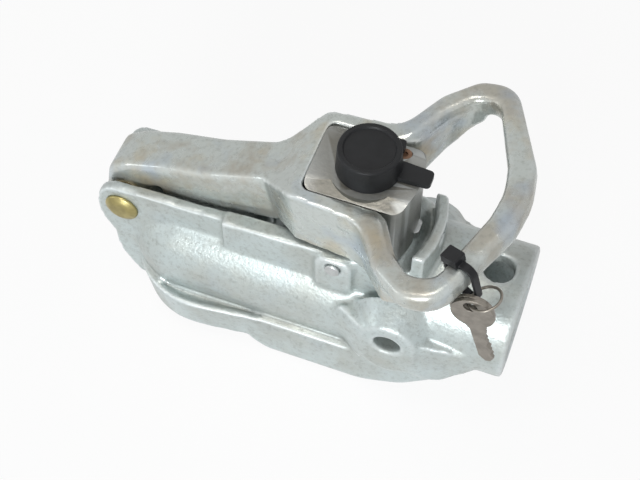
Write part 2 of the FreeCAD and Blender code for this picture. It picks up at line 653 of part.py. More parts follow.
def handle_lever():
    """Forged lever: eye, tongue, lock box with its window, and the loop handle."""
    box = lock_box()
    loop = loop_bar()
    body = new_body("handle_lever")
    tongue = outline(new_sketch(body, "XZ_Plane", "tongue"), [
        ("box_front_x + 5", "box_low_z + 8"),
        ("box_front_x + 5", "98"),
        ("36", "97.5", "16"),
        ("4", "85.5", "40"),
        ("-20", "80", "20"),
        ("pin_x + 1", "73.5", "9"),
        ("pin_x - 9.5", "66", "8"),
        ("pin_x - eye_rad", "pin_z", "6"),
        ("pin_x - eye_rad + 1", "pin_z - 8", "6"),
        ("pin_x + 8", "pin_z - 8.5", "6"),
        ("pin_x + eye_rad + 1", "62", "5"),
        ("0", "62.6", "20"),
        ("22", "67", "30"),
        ("38", "box_low_z", "8"),
    ])
    pad(body, tongue, "2 * tongue_half")
    dress(body, "Fillet", "tongue_edge", lambda e: abs(abs(middle(e).y) - size("tongue_half")) < 0.01
          and middle(e).z > 66 and middle(e).x < size("box_front_x + 4"))
    for form in (box, loop):
        joined = body.newObject("PartDesign::Boolean", form.Name + "_joined")
        joined.Type = "Fuse"
        joined.setObjects([form])
    doc.recompute()
    window = outline(new_sketch(body, "XY_Plane", "window"), [
        ("floor_rear_x", "-window_half"),
        ("92.4", "-window_half - 0.6", "9"),
        ("103.1", "-38.5", "12"),
        ("113.4", "-48.5", "7"),
        ("118.8", "-48.5"),
        ("118.8", "48.5"),
        ("113.4", "48.5", "7"),
        ("103.1", "38.5", "12"),
        ("92.4", "window_half + 0.6", "9"),
        ("floor_rear_x", "window_half"),
    ])
    pocket(body, window)
    seat = outline(new_sketch(body, "XY_Plane", "seat", "box_low_z + box_floor"), [
        ("window_front_x", "-window_half", "3"),
        ("floor_rear_x + 4", "-window_half"),
        ("floor_rear_x + 4", "window_half"),
        ("window_front_x", "window_half", "3"),
    ])
    pocket(body, seat, "60", both=False, back=True)
    primitive(body, "SubtractiveCylinder", "eye", "XZ_Plane", ("pin_x", "pin_z", "-40"),
              {"Radius": PIN_HOLE_RAD + " + bush_wall + seat_gap", "Height": "80"})
    for side_name, sign in (("left", ""), ("right", "-")):
        primitive(body, "SubtractiveCylinder", "screw_hole_" + side_name, "XY_Plane",
                  ("floor_rear_x - 5", sign + "10", "box_low_z - 5"), {"Radius": "2.6", "Height": "15"})
        primitive(body, "SubtractiveCylinder", "screw_seat_" + side_name, "XY_Plane",
                  ("floor_rear_x - 5", sign + "10", "box_low_z - 5"), {"Radius": "4.4", "Height": "7.6"})
    return body


def housing_screw(name, sign):
    """Cap screw from below, through the lever's floor into the lock housing."""
    body = new_body(name)
    base = ("floor_rear_x - 5", sign + "10")
    primitive(body, "AdditiveCylinder", name + "_head", "XY_Plane", base + ("box_low_z",),
              {"Radius": "4.2", "Height": "2.6"})
    primitive(body, "AdditiveCylinder", name + "_shank", "XY_Plane", base + ("box_low_z + 1",),
              {"Radius": "2.5", "Height": "15"})
    primitive(body, "SubtractiveCylinder", name + "_drive", "XY_Plane", base + ("box_low_z - 1",),
              {"Radius": "1.6", "Height": "2.6"})
    return body


def lock_housing():
    """Block in the lever's window that carries the key lock and the lock bolt."""
    body = new_body("lock_housing")
    half = "(window_half - housing_gap)"
    plan = outline(new_sketch(body, "XY_Plane", "block", "housing_low_z"), [
        ("window_front_x + housing_gap", "-" + half, "4"),
        ("98", "-" + half, "6"),
        ("housing_rear_x", "0", "40"),
        ("98", half, "6"),
        ("window_front_x + housing_gap", half, "4"),
    ])
    pad(body, plan, "housing_top_z - housing_low_z", both=False)
    for name, sign in (("shoulder_left", ""), ("shoulder_right", "-")):
        wedge = outline(new_sketch(body, "YZ_Plane", name), [
            (sign + "housing_crown", "housing_top_z + 0.01"),
            (sign + "(window_half + 3)", "housing_top_z - housing_fall - 1.4"),
            (sign + "(window_half + 3)", "housing_top_z + 0.01"),
        ])
        pocket(body, wedge)
    primitive(body, "AdditiveCylinder", "collar", "XY_Plane", ("lock_x", "0", "housing_top_z - 6"),
              {"Radius": "collar_rad", "Height": "6"})
    primitive(body, "AdditiveCylinder", "neck", "XY_Plane", ("lock_x", "0", "housing_top_z - 1"),
              {"Radius": "neck_rad", "Height": NECK_TOP + " - housing_top_z + 1"})
    foot = outline(new_sketch(body, "XY_Plane", "step", "box_low_z + box_floor"), [
        ("window_front_x - 2", "-30"),
        ("floor_rear_x + 0.4", "-30"),
        ("floor_rear_x + 0.4", "30"),
        ("window_front_x - 2", "30"),
    ])
    pocket(body, foot, "20", both=False)
    primitive(body, "SubtractiveCylinder", "lock_hole", "XY_Plane", ("lock_x", "0", "bolt_z"),
              {"Radius": "cylinder_dia / 2 + seat_gap", "Height": "60"})
    hollow = outline(new_sketch(body, "XY_Plane", "race", "housing_low_z - 1"), [
        (TAIL_X + " - 0.6", "-tail_wide / 2 - bolt_fit"),
        (TAIL_X + " + tail_long + throw + 0.6", "-tail_wide / 2 - bolt_fit"),
        (TAIL_X + " + tail_long + throw + 0.6", "-bolt_wide / 2 - bolt_fit"),
        ("housing_rear_x + 5", "-bolt_wide / 2 - bolt_fit"),
        ("housing_rear_x + 5", "bolt_wide / 2 + bolt_fit"),
        (TAIL_X + " + tail_long + throw + 0.6", "bolt_wide / 2 + bolt_fit"),
        (TAIL_X + " + tail_long + throw + 0.6", "tail_wide / 2 + bolt_fit"),
        (TAIL_X + " - 0.6", "tail_wide / 2 + bolt_fit"),
    ])
    pocket(body, hollow, "bolt_z + bolt_high / 2 + bolt_fit - housing_low_z + 1", both=False, back=True)
    recess = outline(new_sketch(body, "XY_Plane", "recess", "housing_low_z - 1"), cover_corners("0.15"))
    pocket(body, recess, "cover_thick + 1.1", both=False, back=True)
    for name, sign in (("thread_left", ""), ("thread_right", "-")):
        primitive(body, "SubtractiveCylinder", name, "XY_Plane",
                  ("floor_rear_x - 5", sign + "10", "box_low_z - 5"),
                  {"Radius": "2.5 + seat_gap", "Height": "24"})
    primitive(body, "SubtractiveCylinder", "cover_hole", "XY_Plane",
              ("cover_screw_x", "cover_screw_y", "housing_low_z - 5"),
              {"Radius": "2 + seat_gap", "Height": "60"})
    primitive(body, "SubtractiveCylinder", "cover_sink", "XY_Plane",
              ("cover_screw_x", "cover_screw_y", "housing_top_z - 3"), {"Radius": "3.4", "Height": "10"})
    return body


def cover_corners(gap):
    """Plan of the cover under the lock bolt, grown by a gap."""
    front = "floor_rear_x + 1.5 - " + gap
    rear = "99 + " + gap
    half = "15.5 + " + gap
    return [
        (front, "-(" + half + ")"),
        (rear, "-(" + half + ")"),
        (rear, half),
        (front, half),
    ]


def bolt_cover():
    """Plate under the lock bolt."""
    body = new_body("bolt_cover")
    plate = outline(new_sketch(body, "XY_Plane", "cover", "housing_low_z"), cover_corners("0"))
    pad(body, plate, "cover_thick", both=False)
    primitive(body, "SubtractiveCylinder", "cover_thread", "XY_Plane",
              ("cover_screw_x", "cover_screw_y", "housing_low_z - 5"),
              {"Radius": "2 + seat_gap", "Height": "10"})
    return body


def cover_screw():
    """Long screw from the top of the housing down to the bolt cover."""
    body = new_body("cover_screw")
    base = ("cover_screw_x", "cover_screw_y")
    primitive(body, "AdditiveCylinder", "cover_screw_shank", "XY_Plane", base + ("housing_low_z",),
              {"Radius": "2", "Height": "housing_top_z - 3 - housing_low_z + 0.5"})
    primitive(body, "AdditiveCylinder", "cover_screw_head", "XY_Plane", base + ("housing_top_z - 3",),
              {"Radius": "3.2", "Height": "2.2"})
    primitive(body, "SubtractiveCylinder", "cover_screw_drive", "XY_Plane",
              base + ("housing_top_z - 2",), {"Radius": "1.3", "Height": "3"})
    return body


def lock_bolt():
    """Bolt that the cam pushes out behind the housing into the keeper."""
    body = new_body("lock_bolt")
    low = "bolt_z - bolt_high / 2"
    nose = outline(new_sketch(body, "XY_Plane", "bolt", low), [
        (TAIL_X, "-tail_wide / 2", "1.5"),
        (TAIL_X + " + tail_long", "-tail_wide / 2", "1.5"),
        (TAIL_X + " + tail_long", "-bolt_wide / 2"),
        ("housing_rear_x - 0.5", "-bolt_wide / 2", "2"),
        ("housing_rear_x - 0.5", "bolt_wide / 2", "2"),
        (TAIL_X + " + tail_long", "bolt_wide / 2"),
        (TAIL_X + " + tail_long", "tail_wide / 2", "1.5"),
        (TAIL_X, "tail_wide / 2", "1.5"),
    ])
    pad(body, nose, "bolt_high", both=False)
    slot = outline(new_sketch(body, "XY_Plane", "cam_slot", low), [
        (CAM_X + " - " + SLOT_RAD, "-1", SLOT_RAD + " * 0.6"),
        (CAM_X + " + " + SLOT_RAD, "-1", SLOT_RAD + " * 0.6"),
        (CAM_X + " + " + SLOT_RAD, "tail_wide / 2 - 0.6", SLOT_RAD + " * 0.6"),
        (CAM_X + " - " + SLOT_RAD, "tail_wide / 2 - 0.6", SLOT_RAD + " * 0.6"),
    ])
    pocket(body, slot)
    return body


def lock_cylinder():
    """Fixed cylinder of the key lock."""
    body = new_body("lock_cylinder")
    primitive(body, "AdditiveCylinder", "cylinder", "XY_Plane", ("lock_x", "0", "cylinder_low_z"),
              {"Radius": "cylinder_dia / 2", "Height": LOCK_TOP + " - cylinder_low_z"})
    primitive(body, "AdditiveCylinder", "cylinder_flange", "XY_Plane", ("lock_x", "0", NECK_TOP),
              {"Radius": "cylinder_dia / 2 + 1.6", "Height": LOCK_TOP + " - " + NECK_TOP})
    primitive(body, "SubtractiveCylinder", "plug_hole", "XY_Plane",
              ("lock_x", "0", "cylinder_low_z - 1"),
              {"Radius": "plug_dia / 2 + pin_gap", "Height": "60"})
    return body


def lock_plug():
    """Plug that the key turns, with the cam disc and cam pin under it."""
    body = new_body("lock_plug")
    cam_top = "cylinder_low_z - 0.3"
    primitive(body, "AdditiveCylinder", "plug", "XY_Plane", ("lock_x", "0", cam_top + " - 0.5"),
              {"Radius": "plug_dia / 2", "Height": LOCK_TOP + " - 0.4 - cylinder_low_z + 0.8"})
    primitive(body, "AdditiveCylinder", "cam_disc", "XY_Plane",
              ("lock_x", "0", cam_top + " - cam_thick"), {"Radius": "cam_dia / 2", "Height": "cam_thick"})
    primitive(body, "AdditiveCylinder", "cam_pin", "XY_Plane",
              (CAM_X, THROW_RAD + " * sin(45)", "bolt_z - bolt_high / 2 + 0.4"),
              {"Radius": "cam_pin_dia / 2", "Height": "cylinder_low_z - 1 - bolt_z + bolt_high / 2"})
    primitive(body, "SubtractiveBox", "key_slot", "XY_Plane",
              ("lock_x - 4", "-1.3", LOCK_TOP + " - 30"),
              {"Length": "8", "Width": "2.6", "Height": "35"})
    return body


def dust_cap():
    """Push-on cap over the key lock, with a finger tab."""
    body = new_body("dust_cap")
    low = "housing_top_z + 0.3"
    profile = outline(new_sketch(body, "XZ_Plane", "cap", base=("lock_x", "0", "0")), [
        ("0", CAP_TOP + " - cap_wall"),
        ("0", CAP_TOP + " - 0.9"),
        ("cap_rad - 3.6", CAP_TOP + " - 0.9"),
        ("cap_rad - 3", CAP_TOP, "0.5"),
        ("cap_rad - 0.7", CAP_TOP, "1"),
        ("cap_rad", low),
        ("neck_rad + cap_gap", low),
        ("neck_rad + cap_gap", CAP_TOP + " - cap_wall", "1"),
    ])
    turned(body, profile)
    finger = outline(new_sketch(body, "XY_Plane", "finger", low), [
        ("lock_x + cap_rad - 1.2", "-3.5"),
        ("lock_x + tab_reach", "-3", "2"),
        ("lock_x + tab_reach", "5", "2"),
        ("lock_x + cap_rad - 1.6", "6"),
    ])
    pad(body, finger, "2.6", both=False)
    stub = outline(new_sketch(body, "XY_Plane", "stub", low), [
        ("lock_x + 5", "cap_rad - 3"),
        ("lock_x + 12", "cap_rad - 5.5"),
        ("lock_x + 12", "cap_rad + 2.2", "2"),
        ("lock_x + 6", "cap_rad + 2.2", "2"),
    ])
    pad(body, stub, "3", both=False)
    return body


def ball_jaw():
    """Jaw that closes the socket behind the ball."""
    body = new_body("ball_jaw")
    side = outline(new_sketch(body, "XZ_Plane", "jaw"), [
        ("jaw_pin_x + jaw_hub_rad", "jaw_pin_z + jaw_hub_rad", "jaw_hub_rad - 0.01"),
        ("jaw_pin_x - jaw_hub_rad", "jaw_pin_z + jaw_hub_rad", "jaw_hub_rad - 0.01"),
        ("jaw_pin_x - jaw_hub_rad - 2", "46", "14"),
        ("32", "16", "10"),
        ("17", "2"),
        ("17", "-12"),
        ("33", "-12", "4"),
        ("44", "10", "20"),
        ("jaw_pin_x + jaw_hub_rad", "46", "20"),
    ])
    pad(body, side, "2 * jaw_half")
    shoe = outline(new_sketch(body, "XZ_Plane", "shoe"), [
        ("17", "1"),
        ("17", "-12"),
        ("33", "-12", "4"),
        ("36", "1", "3"),
    ])
    pad(body, shoe, "2 * jaw_shoe_half")
    primitive(body, "SubtractiveSphere", "ball_seat", "XY_Plane", ("0", "0", "0"),
              {"Radius": SOCKET_RAD + " + seat_fit"})
    primitive(body, "SubtractiveCylinder", "jaw_hole", "XZ_Plane", ("jaw_pin_x", "jaw_pin_z", "-40"),
              {"Radius": "jaw_pin_dia / 2 + pin_gap", "Height": "80"})
    return body


def jaw_pin():
    """Pin of the ball jaw through both tabs."""
    body = new_body("jaw_pin")
    profile = outline(new_sketch(body, "XY_Plane", "jaw_axle", base=("jaw_pin_x", "0", "jaw_pin_z")), [
        ("0", "-tab_half - 1.2"),
        ("jaw_pin_dia / 2 + 0.3", "-tab_half - 1", "0.6"),
        ("jaw_pin_dia / 2 + 0.3", "-tab_half - 0.05"),
        ("jaw_pin_dia / 2", "-tab_half - 0.05"),
        ("jaw_pin_dia / 2", "tab_half + 0.2"),
        ("jaw_pin_dia / 2 - 0.7", "tab_half + 0.2"),
        ("jaw_pin_dia / 2 - 0.7", "tab_half + 1.3"),
        ("jaw_pin_dia / 2", "tab_half + 1.3"),
        ("jaw_pin_dia / 2", "tab_half + 2.6"),
        ("0", "tab_half + 2.6"),
    ])
    turned(body, profile)
    return body


def jaw_pin_clip():
    """Open clip in the groove of the jaw pin."""
    body = new_body("jaw_pin_clip")
    ring = new_sketch(body, "XZ_Plane", "clip", "-tab_half - 0.25")
    circle(ring, "jaw_pin_x", "jaw_pin_z", "jaw_pin_dia / 2 + 2")
    circle(ring, "jaw_pin_x", "jaw_pin_z", "jaw_pin_dia / 2 - 0.68")
    pad(body, ring, "1", both=False, back=True)
    primitive(body, "SubtractiveBox", "clip_mouth", "XY_Plane",
              ("jaw_pin_x - 2", "tab_half - 1", "jaw_pin_z - 10"),
              {"Length": "4", "Width": "4", "Height": "10"})
    return body


def jaw_spring():
    """Coil spring on the jaw pin that keeps the jaw against the ball."""
    body = new_body("jaw_spring")
    wire = new_sketch(body, "YZ_Plane", "wire", base=("0", "jaw_pin_z", "jaw_pin_x"))
    circle(wire, "jaw_half + 1.2", "spring_rad", "spring_wire / 2")
    helix = body.newObject("PartDesign::AdditiveHelix", "coil")
    helix.Profile = wire
    helix.ReferenceAxis = (wire, ["H_Axis"])
    helix.Mode = "pitch-turns-angle"
    helix.setExpression("Pitch", bound("spring_wire + 0.15"))
    helix.Turns = 2.25
    doc.recompute()
    return body


def cable_tie():
    """Loose loop of cable tie round the loop's bar, drawn across the bar."""
    body = new_body("cable_tie")
    inner = [
        ("-6.3", "6", "3.7"),
        ("6.6", "6", "3.7"),
        ("7.2", "-tie_drop", "2.4"),
        ("3", "-tie_drop - 1.6", "2"),
        ("-6.3", "-6.6", "3"),
    ]
    outer = [
        ("-6.3 - tie_thick", "6 + tie_thick", "3.7 + tie_thick"),
        ("6.6 + tie_thick", "6 + tie_thick", "3.7 + tie_thick"),
        ("7.3 + tie_thick", "-tie_drop - 0.6", "2.4 + tie_thick"),
        ("2.7", "-tie_drop - 1.8 - tie_thick", "2 + tie_thick"),
        ("-6.3 - tie_thick", "-6.5 - tie_thick", "3 + tie_thick"),
    ]
    strap = new_sketch(body, "XZ_Plane", "strap")
    outline(strap, outer)
    outline(strap, inner)
    pad(body, strap, "tie_wide")
    head = outline(new_sketch(body, "XZ_Plane", "tie_head"), [
        ("-6.8", "6.2"),
        ("1.2", "6.2"),
        ("1.2", "11.2", "1"),
        ("-6.8", "11.2", "1"),
    ])
    pad(body, head, "tie_wide + 2.8")
    set_down(body, ("tie_x", "tie_y", "tie_z"), BAR_TURNS)
    return body


def set_down(body, base, turns):
    """Place a piece drawn about its own origin."""
    turn = Rotation()
    for axis, text in turns:
        axis_vector = Vector(*[float(axis == name) for name in "xyz"])
        turn = turn.multiply(Rotation(axis_vector, size(text)))
    body.Placement = Placement(Vector(*[size(text) for text in base]), turn)
    for axis, text in zip("xyz", base):
        body.setExpression("Placement.Base." + axis, bound(text))


def key_ring():
    """Ring that hangs in the cable tie and carries the keys."""
    body = new_body("key_ring")
    wire = new_sketch(body, "XZ_Plane", "ring_wire")
    circle(wire, "ring_rad", "0", "ring_wire / 2")
    turned(body, wire)
    set_down(body, ("ring_x", "ring_y", "ring_z"), BAR_TURNS + (("y", "ring_lean"),))
    return body


def key(name, base, lean):
    """Flat key: round bow with a hole, collar and toothed blade, drawn upright."""
    body = new_body(name)
    bow = circle(new_sketch(body, "XZ_Plane", name + "_bow"), "0", "0", "bow_rad")
    pad(body, bow, "key_thick")
    tip = "-bow_rad - key_long"
    blade = outline(new_sketch(body, "XZ_Plane", name + "_blade"), [
        ("-5.5", "-bow_rad + 3"),
        ("-3.4", "-bow_rad - 2", "2"),
        ("-3.4", tip + " + 4"),
        ("-1", tip),
        ("1.2", tip),
        ("3.4", tip + " + 3"),
        ("2.2", tip + " + 6"),
        ("3.4", tip + " + 9"),
        ("1.6", tip + " + 12"),
        ("3.0", tip + " + 15"),
        ("2.0", tip + " + 18"),
        ("3.6", tip + " + 22"),
        ("3.6", "-bow_rad - 2", "2"),
        ("5.5", "-bow_rad + 3"),
    ])
    pad(body, blade, "key_thick")
    hole = circle(new_sketch(body, "XZ_Plane", name + "_hole"), "0", "bow_rad - 4.6", "3")
    pocket(body, hole)
    set_down(body, base, (("y", lean),))
    return body


def key_front():
    """Key in front, leaning towards the sleeve's end."""
    return key("key_front", ("key_front_x", "key_front_y", "key_front_z"), "-17")


def key_back():
    """Spare key behind it."""
    return key("key_back", ("key_back_x", "key_back_y", "key_back_z"), "-17")


def housing_screw_left():
    """Screw on the far side."""
    return housing_screw("housing_screw_left", "")


def housing_screw_right():
    """Screw on the near side."""
    return housing_screw("housing_screw_right", "-")


PIECES = [
    coupling_body,
    lever_pin,
    lever_pin_washer,
    lever_bush,
    handle_lever,
    lock_housing,
    bolt_cover,
    cover_screw,
    lock_bolt,
    lock_cylinder,
    lock_plug,
    dust_cap,
    ball_jaw,
    jaw_pin,
    jaw_pin_clip,
    jaw_spring,
    housing_screw_left,
    housing_screw_right,
    cable_tie,
    key_ring,
    key_front,
    key_back,
]


def check(item):
    """Stop on a failed object."""
    if "Invalid" in item.State or "Error" in item.State:
        raise RuntimeError(item.Name + " failed: " + ", ".join(item.State))


bodies = [make() for make in PIECES]
doc.recompute()
for item in doc.Objects:
    check(item)
for body in bodies:
    if body.Shape.isNull() or not body.Shape.isValid() or len(body.Shape.Solids) != 1:
        raise RuntimeError("bad shape: " + body.Label)
os.makedirs("parts", exist_ok=True)
for body in bodies:
    body.Shape.exportStep("parts/" + body.Label + ".step")
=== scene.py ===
"""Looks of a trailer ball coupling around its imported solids."""

import json
import math

import bmesh
import bpy
from mathutils import Matrix, Vector


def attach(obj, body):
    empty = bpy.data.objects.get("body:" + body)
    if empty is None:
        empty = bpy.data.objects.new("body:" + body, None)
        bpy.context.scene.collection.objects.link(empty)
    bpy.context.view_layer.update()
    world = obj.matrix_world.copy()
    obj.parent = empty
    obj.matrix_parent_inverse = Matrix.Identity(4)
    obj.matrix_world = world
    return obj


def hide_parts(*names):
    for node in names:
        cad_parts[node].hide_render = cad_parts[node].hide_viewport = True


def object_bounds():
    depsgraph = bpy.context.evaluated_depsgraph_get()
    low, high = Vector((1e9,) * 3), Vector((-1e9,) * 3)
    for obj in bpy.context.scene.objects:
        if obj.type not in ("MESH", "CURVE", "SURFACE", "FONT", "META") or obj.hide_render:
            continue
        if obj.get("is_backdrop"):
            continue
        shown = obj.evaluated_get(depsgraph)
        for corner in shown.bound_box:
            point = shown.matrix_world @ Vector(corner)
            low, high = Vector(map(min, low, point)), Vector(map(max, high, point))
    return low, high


bl_info = {
    "name": "Trailer Ball Coupling",
    "version": (1, 0, 0),
    "blender": (4, 5, 0),
    "location": "View3D > Sidebar > Coupling",
    "description": "Dresses a trailer ball coupling and sets its stage",
    "category": "Object",
}

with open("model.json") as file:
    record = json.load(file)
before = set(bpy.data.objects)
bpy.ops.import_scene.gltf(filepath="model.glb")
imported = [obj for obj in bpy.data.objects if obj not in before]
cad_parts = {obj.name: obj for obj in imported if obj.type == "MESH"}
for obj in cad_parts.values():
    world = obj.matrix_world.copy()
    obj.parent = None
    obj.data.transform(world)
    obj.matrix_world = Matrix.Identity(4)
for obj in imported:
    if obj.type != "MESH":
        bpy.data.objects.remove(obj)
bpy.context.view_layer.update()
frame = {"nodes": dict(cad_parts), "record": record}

MM = 0.001

# Camera of the photograph, in the row frame
CAMERA_PLACE = (0.1716, -0.3108, 0.5472)
CAMERA_TURN = math.radians(20.5)
CAMERA_RISE = math.radians(56.7)
CAMERA_LENS = 70.3
CAMERA_SENSOR = 36.0

# Stage, in metres and watts
STAGE_CENTRE = (0.052, 0.0, 0.05)
FLOOR_HALF = 6.0
FLOOR_GAP = 0.0002
FLOOR_WHITE_SHARE = 0.92
LAMP_WIDTH = 0.40
LAMPS = (
    ("key_light", (0.12, -1.10, 0.42), 8.7, (0.94, 0.98, 1.0)),
    ("fill_light", (-0.95, -0.55, 0.40), 1.0, (0.94, 0.98, 1.0)),
    ("top_light", (-0.12, -0.12, 1.2), 3.2, (1.0, 0.94, 0.86)),
)
WORLD_COLOUR = (0.9, 0.95, 1.0, 1.0)
WORLD_STRENGTH = 0.2

# Meshes of the finish
WELD_DISTANCE = 0.002 * MM
FLAT_ANGLE = 0.5
FLAT_FACE_WEIGHT = 60
CAP_EDGE = 0.5 * MM
TIE_EDGE = 0.3 * MM
JAW_EDGE = 0.6 * MM

# Colours inside the plating
SPECK_COLOUR = (0.22, 0.225, 0.2)
# Painted shade put into hollows and creases
HOLLOW_SHADE_COLOUR = (0.2, 0.2, 0.175)
# Near black for the even darkening, which on the lock housing is a painted shadow
SHADE_COLOUR = (0.05, 0.047, 0.04)
# Painted highlight along sharp edges and rims
RIM_HIGHLIGHT_COLOUR = (0.9, 0.94, 0.95)

# Plain metals
BRASS = (0.66, 0.60, 0.42)
BUSH_BRONZE = (0.62, 0.50, 0.30)
BRIGHT_STEEL = (0.60, 0.62, 0.62)
SPRING_STEEL = (0.22, 0.23, 0.25)
RUSTY_STEEL = (0.34, 0.20, 0.13)


# Sizes and colours


class CouplingSizes(bpy.types.PropertyGroup):
    """Sizes of the finish that the solids leave out."""

    casting_grid: bpy.props.FloatProperty(
        name="Casting Grid", description="Grid of the casting's soft skin",
        default=1.25 * MM, min=0.5 * MM, unit="LENGTH")
    forging_grid: bpy.props.FloatProperty(
        name="Forging Grid", description="Grid of the lever's soft skin",
        default=1.0 * MM, min=0.5 * MM, unit="LENGTH")
    housing_edge: bpy.props.FloatProperty(
        name="Housing Edge", description="Rounding of the lock housing's edges",
        default=0.9 * MM, min=0.0, unit="LENGTH")
    small_edge: bpy.props.FloatProperty(
        name="Small Edge", description="Rounding of pins, screws and keys",
        default=0.25 * MM, min=0.0, unit="LENGTH")
    grain: bpy.props.FloatProperty(
        name="Grain", description="Depth of the cast grain in the bump",
        default=0.55, min=0.0, max=2.0)


class CouplingColours(bpy.types.PropertyGroup):
    """Colours of the finishes."""

    zinc_pale: bpy.props.FloatVectorProperty(
        name="Pale Zinc", description="Lit side of the plating", subtype="COLOR",
        size=3, default=(0.60, 0.67, 0.665), min=0.0, max=1.0)
    # Taupe: random patches on every plated part; on the lever and lock housing also a painted
    # shade that gives them the darker, warmer look of upward faces under dim top light
    zinc_taupe: bpy.props.FloatVectorProperty(
        name="Taupe Zinc", description="Duller side of the plating", subtype="COLOR",
        size=3, default=(0.42, 0.395, 0.335), min=0.0, max=1.0)
    zinc_blue: bpy.props.FloatVectorProperty(
        name="Blue Zinc", description="Blue tint of the passivation", subtype="COLOR",
        size=3, default=(0.30, 0.40, 0.56), min=0.0, max=1.0)
    zinc_gold: bpy.props.FloatVectorProperty(
        name="Gold Zinc", description="Yellow tint of the passivation", subtype="COLOR",
        size=3, default=(0.50, 0.37, 0.17), min=0.0, max=1.0)
    pin_yellow: bpy.props.FloatVectorProperty(
        name="Pin Yellow", description="Yellow-passivated pin", subtype="COLOR",
        size=3, default=(0.42, 0.36, 0.16), min=0.0, max=1.0)
    cap_black: bpy.props.FloatVectorProperty(
        name="Cap Black", description="Moulded cap", subtype="COLOR",
        size=3, default=(0.006, 0.0065, 0.0075), min=0.0, max=1.0)
    key_grey: bpy.props.FloatVectorProperty(
        name="Key Grey", description="Nickel of keys and ring", subtype="COLOR",
        size=3, default=(0.30, 0.275, 0.24), min=0.0, max=1.0)
    stage_white: bpy.props.FloatVectorProperty(
        name="Stage White", description="Floor and backdrop", subtype="COLOR",
        size=3, default=(0.93, 0.93, 0.93), min=0.0, max=1.0)


def sizes():
    return bpy.context.scene.coupling_sizes


def colours():
    return bpy.context.scene.coupling_colours


# Node helpers


def new_node(tree, kind, **values):
    node = tree.nodes.new(kind)
    for key, value in values.items():
        setattr(node, key, value)
    return node


def link(tree, source, target):
    tree.links.new(source, target)


def number(tree, operation, first, second):
    """Math node of two values, each a socket or a number; gives its output."""
    node = new_node(tree, "ShaderNodeMath", operation=operation)
    for index, value in enumerate((first, second)):
        if isinstance(value, bpy.types.NodeSocket):
            link(tree, value, node.inputs[index])
        else:
            node.inputs[index].default_value = value
    return node.outputs[0]


def blend_colour(tree, mask, first, second, mode="MIX"):
    """Colour mix; mask, first and second are sockets or plain values."""
    node = new_node(tree, "ShaderNodeMix", data_type="RGBA", blend_type=mode)
    for index, value in ((0, mask), (6, first), (7, second)):
        if isinstance(value, bpy.types.NodeSocket):
            link(tree, value, node.inputs[index])
        elif index == 0:
            node.inputs[index].default_value = value
        else:
            node.inputs[index].default_value = tuple(value)[:3] + (1.0,)
    return node.outputs[2]


def ramp(tree, source, low, high, start=0.0, finish=1.0):
    """Map Range from low..high to start..finish, held at its ends."""
    node = new_node(tree, "ShaderNodeMapRange", clamp=True)
    link(tree, source, node.inputs["Value"])
    node.inputs["From Min"].default_value = low
    node.inputs["From Max"].default_value = high
    node.inputs["To Min"].default_value = start
    node.inputs["To Max"].default_value = finish
    return node.outputs["Result"]


def new_group(name, inputs, outputs):
    """Empty shader node group with float or colour sockets."""
    group = bpy.data.node_groups.new(name, "ShaderNodeTree")
    kinds = {"value": "NodeSocketFloat", "colour": "NodeSocketColor"}
    for label, kind, default in inputs:
        socket = group.interface.new_socket(label, in_out="INPUT", socket_type=kinds[kind])
        socket.default_value = default
    for label, kind in outputs:
        group.interface.new_socket(label, in_out="OUTPUT", socket_type=kinds[kind])
    return group, group.nodes.new("NodeGroupInput"), group.nodes.new("NodeGroupOutput")


def noise(tree, coordinates, scale, detail=4.0, roughness=0.55):
    node = new_node(tree, "ShaderNodeTexNoise")
    link(tree, coordinates, node.inputs["Vector"])
    if isinstance(scale, bpy.types.NodeSocket):
        link(tree, scale, node.inputs["Scale"])
    else:
        node.inputs["Scale"].default_value = scale
    node.inputs["Detail"].default_value = detail
    node.inputs["Roughness"].default_value = roughness
    return node.outputs["Fac"]


def grain_group():
    """Fine grain of a casting with a slow swell under it."""
    group, given, result = new_group(
        "surface_grain",
        [("Fine Scale", "value", 1100.0), ("Swell Scale", "value", 60.0), ("Swell", "value", 0.3)],
        [("Height", "value"), ("Patches", "value")])
    place = new_node(group, "ShaderNodeTexCoord").outputs["Object"]
    fine = noise(group, place, given.outputs["Fine Scale"], 3.0)
    swell = noise(group, place, given.outputs["Swell Scale"], 3.0)
    slow = number(group, "MULTIPLY", swell, given.outputs["Swell"])
    link(group, number(group, "ADD", fine, slow), result.inputs["Height"])
    link(group, ramp(group, swell, 0.38, 0.62), result.inputs["Patches"])
    return group


